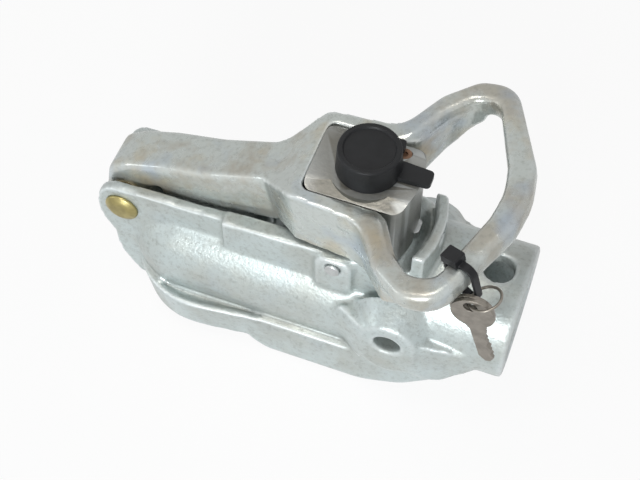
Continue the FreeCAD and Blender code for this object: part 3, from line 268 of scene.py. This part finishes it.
def plating_group():
    """Zinc plating: patches of four tints, with a taupe base that is painted shade; dark specks;
    painted shade in hollows; an even darkening, which is a painted shadow on the lock housing;
    painted highlights on edges.
    """
    group, given, result = new_group(
        "zinc_plating",
        [("Pale", "colour", (0.46, 0.53, 0.53, 1)), ("Taupe", "colour", (0.31, 0.3, 0.26, 1)),
         ("Gold", "colour", (0.5, 0.37, 0.17, 1)), ("Blue", "colour", (0.3, 0.4, 0.56, 1)),
         ("Taupe Share", "value", 0.4), ("Taupe Painted Shade", "value", 0.0),
         ("Gold Share", "value", 0.2), ("Blue Share", "value", 0.1), ("Specks", "value", 0.3),
         ("Shade", "value", 0.0), ("Rim Highlight", "value", 0.7)],
        [("Color", "colour"), ("Edge", "value")])
    place = new_node(group, "ShaderNodeTexCoord").outputs["Object"]
    patches = ramp(group, noise(group, place, 30.0, 6.0, 0.62), 0.40, 0.62)
    drift = ramp(group, noise(group, place, 47.0, 3.0), 0.54, 0.70)
    cool = ramp(group, noise(group, place, 38.0, 3.0, 0.5), 0.56, 0.72)
    pointed = new_node(group, "ShaderNodeNewGeometry").outputs["Pointiness"]
    # high pointiness, which carries the painted highlight on sharp edges
    edge = ramp(group, pointed, 0.51, 0.58)
    # painted shade: low pointiness marks hollows and creases, which get darkened
    painted_hollow_shade = ramp(group, pointed, 0.49, 0.40)
    # taupe in random patches, raised by the base share to a painted shade over the whole lever and
    # lock housing
    taupe_patches_and_shade = number(group, "MULTIPLY", patches, given.outputs["Taupe Share"])
    taupe_patches_and_shade = number(group, "MAXIMUM", taupe_patches_and_shade, given.outputs["Taupe Painted Shade"])
    colour = blend_colour(group, taupe_patches_and_shade, given.outputs["Pale"], given.outputs["Taupe"])
    warm = number(group, "MULTIPLY", drift, given.outputs["Gold Share"])
    colour = blend_colour(group, warm, colour, given.outputs["Gold"])
    cold = number(group, "MULTIPLY", cool, given.outputs["Blue Share"])
    colour = blend_colour(group, cold, colour, given.outputs["Blue"])
    fine = ramp(group, noise(group, place, 430.0, 6.0, 0.75), 0.34, 0.50, 1.0, 0.0)
    specks = number(group, "MULTIPLY", fine, given.outputs["Specks"])
    colour = blend_colour(group, specks, colour, SPECK_COLOUR)
    # painted shade blended into the hollows and creases
    colour = blend_colour(group, number(group, "MULTIPLY", painted_hollow_shade, 0.6), colour, HOLLOW_SHADE_COLOUR)
    # even darkening of the whole surface; on the lock housing this is a painted shadow of the dust
    # cap
    colour = blend_colour(group, given.outputs["Shade"], colour, SHADE_COLOUR)
    # painted highlight: sharp edges brightened towards near white
    painted_rim_highlight = number(group, "MULTIPLY", edge, given.outputs["Rim Highlight"])
    colour = blend_colour(group, painted_rim_highlight, colour, RIM_HIGHLIGHT_COLOUR)
    link(group, colour, result.inputs["Color"])
    link(group, edge, result.inputs["Edge"])
    return group


def group_node(tree, name, maker):
    node = new_node(tree, "ShaderNodeGroup")
    node.node_tree = bpy.data.node_groups.get(name) or maker()
    return node


MADE = {}


def new_material(name):
    """Material of this script's own, apart from those that come with the solids."""
    material = bpy.data.materials.new("look_" + name)
    material.use_nodes = True
    MADE[name] = material
    tree = material.node_tree
    shader = tree.nodes["Principled BSDF"]
    return material, tree, shader


def plated(name, tints, rough, bump, fine, metal=0.35):
    """Zinc-plated steel with grain; tints sets the shares of the plating group."""
    if name in MADE:
        return MADE[name]
    material, tree, shader = new_material(name)
    tint = group_node(tree, "zinc_plating", plating_group)
    colour = colours()
    tint.inputs["Pale"].default_value = tuple(colour.zinc_pale) + (1.0,)
    tint.inputs["Taupe"].default_value = tuple(colour.zinc_taupe) + (1.0,)
    tint.inputs["Gold"].default_value = tuple(colour.zinc_gold) + (1.0,)
    tint.inputs["Blue"].default_value = tuple(colour.zinc_blue) + (1.0,)
    for label, share in tints.items():
        tint.inputs[label].default_value = share
    grain = group_node(tree, "surface_grain", grain_group)
    grain.inputs["Fine Scale"].default_value = fine
    link(tree, tint.outputs["Color"], shader.inputs["Base Color"])
    shader.inputs["Metallic"].default_value = metal
    roughness = ramp(tree, grain.outputs["Patches"], 0.0, 1.0, rough - 0.05, rough + 0.1)
    link(tree, roughness, shader.inputs["Roughness"])
    relief = new_node(tree, "ShaderNodeBump")
    relief.inputs["Strength"].default_value = min(1.0, bump * sizes().grain)
    relief.inputs["Distance"].default_value = 0.6 * MM
    link(tree, grain.outputs["Height"], relief.inputs["Height"])
    link(tree, relief.outputs["Normal"], shader.inputs["Normal"])
    return material


def plain_metal(name, colour, rough, metal=1.0):
    """Smooth metal with a light wipe of wear."""
    if name in MADE:
        return MADE[name]
    material, tree, shader = new_material(name)
    place = new_node(tree, "ShaderNodeTexCoord").outputs["Object"]
    wear = ramp(tree, noise(tree, place, 220.0, 4.0), 0.35, 0.7)
    dark = tuple(0.72 * value for value in colour)
    link(tree, blend_colour(tree, wear, dark, colour), shader.inputs["Base Color"])
    shader.inputs["Metallic"].default_value = metal
    link(tree, ramp(tree, wear, 0.0, 1.0, rough + 0.1, rough), shader.inputs["Roughness"])
    return material


def moulded(name, colour, rough):
    """Black moulding with a fine satin texture."""
    if name in MADE:
        return MADE[name]
    material, tree, shader = new_material(name)
    place = new_node(tree, "ShaderNodeTexCoord").outputs["Object"]
    fine = noise(tree, place, 1600.0, 2.0)
    slow = ramp(tree, noise(tree, place, 90.0, 3.0), 0.3, 0.7)
    pale = tuple(min(1.0, 1.8 * value + 0.004) for value in colour)
    link(tree, blend_colour(tree, slow, colour, pale), shader.inputs["Base Color"])
    link(tree, ramp(tree, slow, 0.0, 1.0, rough, rough + 0.12), shader.inputs["Roughness"])
    shader.inputs["Specular IOR Level"].default_value = 0.28
    relief = new_node(tree, "ShaderNodeBump")
    relief.inputs["Strength"].default_value = 0.15
    relief.inputs["Distance"].default_value = 0.1 * MM
    link(tree, fine, relief.inputs["Height"])
    link(tree, relief.outputs["Normal"], shader.inputs["Normal"])
    return material


# Piece helpers


def body_name(node):
    for body, members in frame["record"]["behaviour"]["bodies"].items():
        if node in members:
            return body
    raise RuntimeError("no body holds " + node)


def merged_copy(node, material, flat_angle=FLAT_ANGLE):
    """Copy of a solid with its vertices merged and its flat faces joined."""
    source = frame["nodes"][node]
    shell = bmesh.new()
    shell.from_mesh(source.data)
    bmesh.ops.remove_doubles(shell, verts=shell.verts, dist=WELD_DISTANCE)
    if flat_angle > 0:
        bmesh.ops.dissolve_limit(shell, angle_limit=math.radians(flat_angle), verts=shell.verts,
                                 edges=shell.edges, delimit=set())
    mesh = bpy.data.meshes.new(node + "_finish")
    shell.to_mesh(mesh)
    shell.free()
    piece = bpy.data.objects.new(node + "_finish", mesh)
    bpy.context.scene.collection.objects.link(piece)
    mesh.materials.clear()
    mesh.materials.append(material)
    return piece


def stands_for(piece, node):
    """Let a piece replace a solid and ride on its body."""
    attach(piece, body_name(node))
    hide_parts(node)


def prism(profile, half):
    """Bmesh of a side profile in mm, as wide as half on both sides."""
    form = bmesh.new()
    near = [form.verts.new((x * MM, -half * MM, z * MM)) for x, z in profile]
    face = form.faces.new(near)
    grown = bmesh.ops.extrude_face_region(form, geom=[face])
    moved = [item for item in grown["geom"] if isinstance(item, bmesh.types.BMVert)]
    bmesh.ops.translate(form, verts=moved, vec=(0.0, 2 * half * MM, 0.0))
    bmesh.ops.recalc_face_normals(form, faces=form.faces)
    return form


def wedge(corners):
    """Bmesh of the convex form round the given corners in mm."""
    form = bmesh.new()
    for corner in corners:
        form.verts.new(Vector(corner) * MM)
    bmesh.ops.convex_hull(form, input=form.verts)
    bmesh.ops.recalc_face_normals(form, faces=form.faces)
    return form


def block(low, high):
    """Bmesh of a block between two corners in mm."""
    return wedge([(x, y, z) for x in (low[0], high[0]) for y in (low[1], high[1])
                  for z in (low[2], high[2])])


def form_mesh(form):
    """Mesh of a bmesh form, which is freed."""
    mesh = bpy.data.meshes.new("form")
    form.to_mesh(mesh)
    form.free()
    return mesh


def settle(piece):
    """Make what the modifiers give the mesh itself."""
    graph = bpy.context.evaluated_depsgraph_get()
    result = bpy.data.meshes.new_from_object(piece.evaluated_get(graph))
    material = piece.data.materials[0]
    old = piece.data
    name = old.name
    piece.modifiers.clear()
    piece.data = result
    bpy.data.meshes.remove(old)
    result.name = name
    result.materials.clear()
    result.materials.append(material)
    for face in result.polygons:
        face.material_index = 0


def soften_spots(piece, spots):
    """Smooth the skin round spots; each has a centre and a reach in mm, and its rounds."""
    shell = bmesh.new()
    shell.from_mesh(piece.data)
    for centre, reach, rounds in spots:
        place = Vector(centre) * MM
        for share in (1.0, 0.8, 0.6):
            near = [vert for vert in shell.verts
                    if (vert.co - place).length < share * reach * MM]
            for _ in range(rounds):
                bmesh.ops.smooth_vert(shell, verts=near, factor=0.5, use_axis_x=True,
                                      use_axis_y=True, use_axis_z=True)
    shell.to_mesh(piece.data)
    shell.free()


def cut_out(piece, form):
    """Cut a form out of a piece, so that a slot keeps its size under the soft skin."""
    cutter = bpy.data.objects.new("cutter", form_mesh(form))
    bpy.context.scene.collection.objects.link(cutter)
    cut = piece.modifiers.new("slot", "BOOLEAN")
    cut.operation = "DIFFERENCE"
    cut.solver = "EXACT"
    cut.object = cutter
    settle(piece)
    mesh = cutter.data
    bpy.data.objects.remove(cutter)
    bpy.data.meshes.remove(mesh)


def soft_copy(node, material, voxel, rounds, fillers=(), spots=(), slots=()):
    """Copy of a cast or forged solid whose corners and hollows run softly together."""
    piece = merged_copy(node, material, 0.0)
    shell = bmesh.new()
    shell.from_mesh(piece.data)
    for form in fillers:
        extra = form_mesh(form)
        shell.from_mesh(extra)
        bpy.data.meshes.remove(extra)
    shell.to_mesh(piece.data)
    shell.free()
    remesh = piece.modifiers.new("even_skin", "REMESH")
    remesh.mode = "VOXEL"
    remesh.voxel_size = voxel
    remesh.use_smooth_shade = True
    soften = piece.modifiers.new("soft_corners", "SMOOTH")
    soften.factor = 0.5
    soften.iterations = rounds
    settle(piece)
    soften_spots(piece, spots)
    for form in slots:
        cut_out(piece, form)
    stands_for(piece, node)


def finished_copy(node, material, edge, segments=2, angle=32.0):
    """Merged copy of a solid with rounded edges, standing for it."""
    piece = merged_copy(node, material)
    mesh = piece.data
    if edge > 0:
        bevel = piece.modifiers.new("rounded_edges", "BEVEL")
        bevel.width = edge
        bevel.segments = segments
        bevel.limit_method = "ANGLE"
        bevel.angle_limit = math.radians(angle)
        bevel.use_clamp_overlap = True
        bevel.harden_normals = False
    mesh.shade_smooth()
    weighted = piece.modifiers.new("smooth_faces", "WEIGHTED_NORMAL")
    weighted.keep_sharp = True
    weighted.weight = FLAT_FACE_WEIGHT
    stands_for(piece, node)


# Forms and tints of single pieces, in mm

# Side profile of the rounded rib under the lever's tongue, and half its width
TONGUE_RIB = ((-21, 58.5), (10, 61), (38, 66.5), (46, 72), (46, 78), (0, 74), (-21, 70))
TONGUE_RIB_HALF = 11.6
# Fill between a cross bolt boss and the sleeve, for the near side
BOSS_FILL = ((111, -39.4, 12), (111, -39.4, 40), (130, -35.6, 7), (130, -35.6, 38),
             (144, -31.0, 21), (146, -32.2, 34), (111, -27, 12), (130, -24, 7),
             (144, -26, 21), (146, -28, 34), (130, -28, 38), (111, -28, 40))
# Ramp from the barrel up to the boss, for the near side
BOSS_RAMP = ((90, -39.3, 13), (90, -39.3, 43), (73, -26.5, 13), (73, -32.3, 34),
             (90, -26, 13), (90, -26, 43), (76, -30.5, 42))
CAST_SPOTS = (((82, 35, 28), 13, 12), ((118, 37, 14), 11, 5), ((133, 34, 12), 9, 6),
              ((145, 32, 30), 9, 8))
# Corner of the window under each arm of the loop
FORGED_SPOTS = (((113, 57, 95), 15, 8),)
# Slot of the lock bolt in the keeper
KEEPER_SLOT = ((105.5, -4.4, 73.3), (119, 4.4, 79.1))
# The rim share in each set is a painted highlight on sharp edges.
CAST_TINTS = {"Taupe Share": 0.4, "Gold Share": 0.08, "Blue Share": 0.12, "Specks": 0.4,
              "Shade": 0.16, "Rim Highlight": 0.85}
# On the lever the taupe base is a painted shade of its mostly upward faces.
FORGED_TINTS = {"Taupe Painted Shade": 0.35, "Taupe Share": 0.9, "Gold Share": 0.38, "Blue Share": 0.4,
                "Specks": 0.35, "Shade": 0.05, "Rim Highlight": 0.85}
# On the lock housing the taupe base and the strong even darkening are painted shade; the darkening
# stands in for the dust cap's shadow.
HOUSING_TINTS = {"Taupe Painted Shade": 0.8, "Taupe Share": 1.0, "Gold Share": 0.1, "Blue Share": 0.15,
                 "Specks": 0.4, "Shade": 0.66, "Rim Highlight": 0.4}


# Operators


def both_sides(spots):
    """Spots of the far side together with their mirror images."""
    return [((x, side * y, z), reach, rounds)
            for (x, y, z), reach, rounds in spots for side in (1, -1)]


def cast_metal():
    """Plating of the cast body and the ball jaw."""
    return plated("cast_zinc", CAST_TINTS, 0.37, 0.6, 620.0, 0.45)


class COUPLING_OT_casting(bpy.types.Operator):
    """Finish the cast body"""

    bl_idname = "coupling.casting"
    bl_label = "Casting"

    def execute(self, context):
        metal = cast_metal()
        fills = [wedge([(x, side * y, z) for x, y, z in corners])
                 for corners in (BOSS_FILL, BOSS_RAMP) for side in (1, -1)]
        soft_copy("coupling_body", metal, sizes().casting_grid, 3, fills,
                  both_sides(CAST_SPOTS), (block(*KEEPER_SLOT),))
        return {"FINISHED"}


class COUPLING_OT_lever(bpy.types.Operator):
    """Finish the lever with its loop"""

    bl_idname = "coupling.lever"
    bl_label = "Lever"

    def execute(self, context):
        metal = plated("forged_zinc", FORGED_TINTS, 0.25, 0.4, 330.0, 0.55)
        rib = prism(TONGUE_RIB, TONGUE_RIB_HALF)
        soft_copy("handle_lever", metal, sizes().forging_grid, 6, (rib,),
                  both_sides(FORGED_SPOTS))
        finished_copy("lever_bush", plain_metal("bush_metal", BUSH_BRONZE, 0.3),
                      sizes().small_edge)
        return {"FINISHED"}


class COUPLING_OT_lock(bpy.types.Operator):
    """Finish the lock housing, its lock and its bolt"""

    bl_idname = "coupling.lock"
    bl_label = "Lock"

    def execute(self, context):
        edge = sizes().small_edge
        housing = plated("housing_zinc", HOUSING_TINTS, 0.34, 0.5, 500.0, 0.5)
        finished_copy("lock_housing", housing, sizes().housing_edge)
        brass = plain_metal("lock_metal", BRASS, 0.28)
        steel = plain_metal("bright_steel", BRIGHT_STEEL, 0.26)
        finished_copy("lock_cylinder", brass, edge)
        finished_copy("lock_plug", brass, edge)
        finished_copy("lock_bolt", steel, edge)
        finished_copy("bolt_cover", steel, edge)
        return {"FINISHED"}


class COUPLING_OT_cap(bpy.types.Operator):
    """Finish the dust cap"""

    bl_idname = "coupling.cap"
    bl_label = "Dust Cap"

    def execute(self, context):
        black = moulded("cap_black", tuple(colours().cap_black), 0.42)
        finished_copy("dust_cap", black, CAP_EDGE)
        return {"FINISHED"}


class COUPLING_OT_pins(bpy.types.Operator):
    """Finish pins, screws, clip and spring"""

    bl_idname = "coupling.pins"
    bl_label = "Pins and Screws"

    def execute(self, context):
        edge = sizes().small_edge
        yellow = plain_metal("pin_yellow", tuple(colours().pin_yellow), 0.30)
        steel = plain_metal("bright_steel", BRIGHT_STEEL, 0.26)
        dark = plain_metal("spring_steel", SPRING_STEEL, 0.35)
        rusty = plain_metal("rusty_steel", RUSTY_STEEL, 0.6, 0.5)
        finished_copy("lever_pin", yellow, edge)
        finished_copy("lever_pin_washer", steel, edge)
        finished_copy("jaw_pin", steel, edge)
        finished_copy("jaw_pin_clip", dark, edge)
        finished_copy("jaw_spring", dark, 0.0)
        finished_copy("cover_screw", rusty, edge)
        for node in ("housing_screw_left", "housing_screw_right"):
            finished_copy(node, steel, edge)
        return {"FINISHED"}


class COUPLING_OT_keys(bpy.types.Operator):
    """Finish the keys, their ring and the cable tie"""

    bl_idname = "coupling.keys"
    bl_label = "Keys and Tie"

    def execute(self, context):
        nickel = plain_metal("key_nickel", tuple(colours().key_grey), 0.30, 0.8)
        for node in ("key_front", "key_back"):
            finished_copy(node, nickel, sizes().small_edge)
        finished_copy("key_ring", nickel, 0.0)
        black = moulded("tie_black", tuple(colours().cap_black), 0.38)
        finished_copy("cable_tie", black, TIE_EDGE)
        return {"FINISHED"}


class COUPLING_OT_jaw(bpy.types.Operator):
    """Finish the ball jaw"""

    bl_idname = "coupling.jaw"
    bl_label = "Ball Jaw"

    def execute(self, context):
        metal = cast_metal()
        finished_copy("ball_jaw", metal, JAW_EDGE)
        return {"FINISHED"}


def white_to_camera(tree, shaded, share):
    """Show plain white to the camera, glossy and transmission rays, mixed with the shading."""
    path = new_node(tree, "ShaderNodeLightPath")
    seen = number(tree, "MAXIMUM", path.outputs["Is Camera Ray"], path.outputs["Is Glossy Ray"])
    seen = number(tree, "MAXIMUM", seen, path.outputs["Is Transmission Ray"])
    glow = new_node(tree, "ShaderNodeEmission")
    glow.inputs["Color"].default_value = (1.0, 1.0, 1.0, 1.0)
    glow.inputs["Strength"].default_value = 1.0
    mix = new_node(tree, "ShaderNodeMixShader")
    link(tree, number(tree, "MULTIPLY", seen, share), mix.inputs[0])
    link(tree, shaded, mix.inputs[1])
    link(tree, glow.outputs[0], mix.inputs[2])
    return mix.outputs[0]


def area_light(name, place, power, colour):
    """Square lamp turned to the stage's centre."""
    data = bpy.data.lights.new(name, "AREA")
    data.shape = "RECTANGLE"
    data.size = LAMP_WIDTH
    data.size_y = LAMP_WIDTH
    data.energy = power
    data.color = colour
    lamp = bpy.data.objects.new(name, data)
    lamp.location = place
    back = Vector(place) - Vector(STAGE_CENTRE)
    lamp.rotation_euler = back.to_track_quat("Z", "Y").to_euler()
    bpy.context.scene.collection.objects.link(lamp)


class COUPLING_OT_stage(bpy.types.Operator):
    """Floor, light and camera"""

    bl_idname = "coupling.stage"
    bl_label = "Stage"

    def execute(self, context):
        scene = bpy.context.scene
        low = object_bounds()[0][2]
        plane = bmesh.new()
        place = Matrix.Translation((STAGE_CENTRE[0], 0, low - FLOOR_GAP))
        bmesh.ops.create_grid(plane, x_segments=1, y_segments=1, size=FLOOR_HALF, matrix=place)
        mesh = bpy.data.meshes.new("floor")
        plane.to_mesh(mesh)
        plane.free()
        floor = bpy.data.objects.new("floor", mesh)
        scene.collection.objects.link(floor)
        floor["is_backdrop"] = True
        material, tree, shader = new_material("stage_floor")
        shader.inputs["Base Color"].default_value = tuple(colours().stage_white) + (1.0,)
        shader.inputs["Roughness"].default_value = 0.9
        shader.inputs["Specular IOR Level"].default_value = 0.1
        shown = white_to_camera(tree, shader.outputs[0], FLOOR_WHITE_SHARE)
        link(tree, shown, tree.nodes["Material Output"].inputs["Surface"])
        mesh.materials.append(material)

        world = bpy.data.worlds.new("studio")
        scene.world = world
        world.use_nodes = True
        tree = world.node_tree
        back = tree.nodes["Background"]
        back.inputs["Color"].default_value = WORLD_COLOUR
        back.inputs["Strength"].default_value = WORLD_STRENGTH
        shown = white_to_camera(tree, back.outputs[0], 1.0)
        link(tree, shown, tree.nodes["World Output"].inputs["Surface"])

        for name, place, power, colour in LAMPS:
            area_light(name, place, power, colour)

        data = bpy.data.cameras.new("photo_view")
        data.lens = CAMERA_LENS
        data.sensor_width = CAMERA_SENSOR
        data.sensor_fit = "HORIZONTAL"
        data.clip_start = 0.01
        camera = bpy.data.objects.new("photo_view", data)
        camera.location = CAMERA_PLACE
        back = Vector((math.cos(CAMERA_RISE) * math.sin(CAMERA_TURN),
                       -math.cos(CAMERA_RISE) * math.cos(CAMERA_TURN),
                       math.sin(CAMERA_RISE)))
        camera.rotation_euler = back.to_track_quat("Z", "Y").to_euler()
        scene.collection.objects.link(camera)
        scene.camera = camera
        scene.view_settings.view_transform = "Standard"
        return {"FINISHED"}


class COUPLING_PT_panel(bpy.types.Panel):
    """Lists the pieces of the coupling"""

    bl_idname = "COUPLING_PT_panel"
    bl_label = "Trailer Ball Coupling"
    bl_space_type = "VIEW_3D"
    bl_region_type = "UI"
    bl_category = "Coupling"

    def draw(self, context):
        layout = self.layout
        for group in (context.scene.coupling_sizes, context.scene.coupling_colours):
            box = layout.box()
            for name in group.__annotations__:
                box.prop(group, name)
        for operator in OPERATORS:
            layout.operator(operator.bl_idname)


OPERATORS = (
    COUPLING_OT_casting,
    COUPLING_OT_lever,
    COUPLING_OT_lock,
    COUPLING_OT_cap,
    COUPLING_OT_pins,
    COUPLING_OT_jaw,
    COUPLING_OT_keys,
    COUPLING_OT_stage,
)
CLASSES = (CouplingSizes, CouplingColours) + OPERATORS + (COUPLING_PT_panel,)


def register():
    for item in CLASSES:
        bpy.utils.register_class(item)
    bpy.types.Scene.coupling_sizes = bpy.props.PointerProperty(type=CouplingSizes)
    bpy.types.Scene.coupling_colours = bpy.props.PointerProperty(type=CouplingColours)


def unregister():
    del bpy.types.Scene.coupling_colours
    del bpy.types.Scene.coupling_sizes
    for item in reversed(CLASSES):
        bpy.utils.unregister_class(item)


def main():
    """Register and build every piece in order."""
    register()
    for operator in OPERATORS:
        family, name = operator.bl_idname.split(".")
        getattr(getattr(bpy.ops, family), name)()


if __name__ == "__main__":
    main()
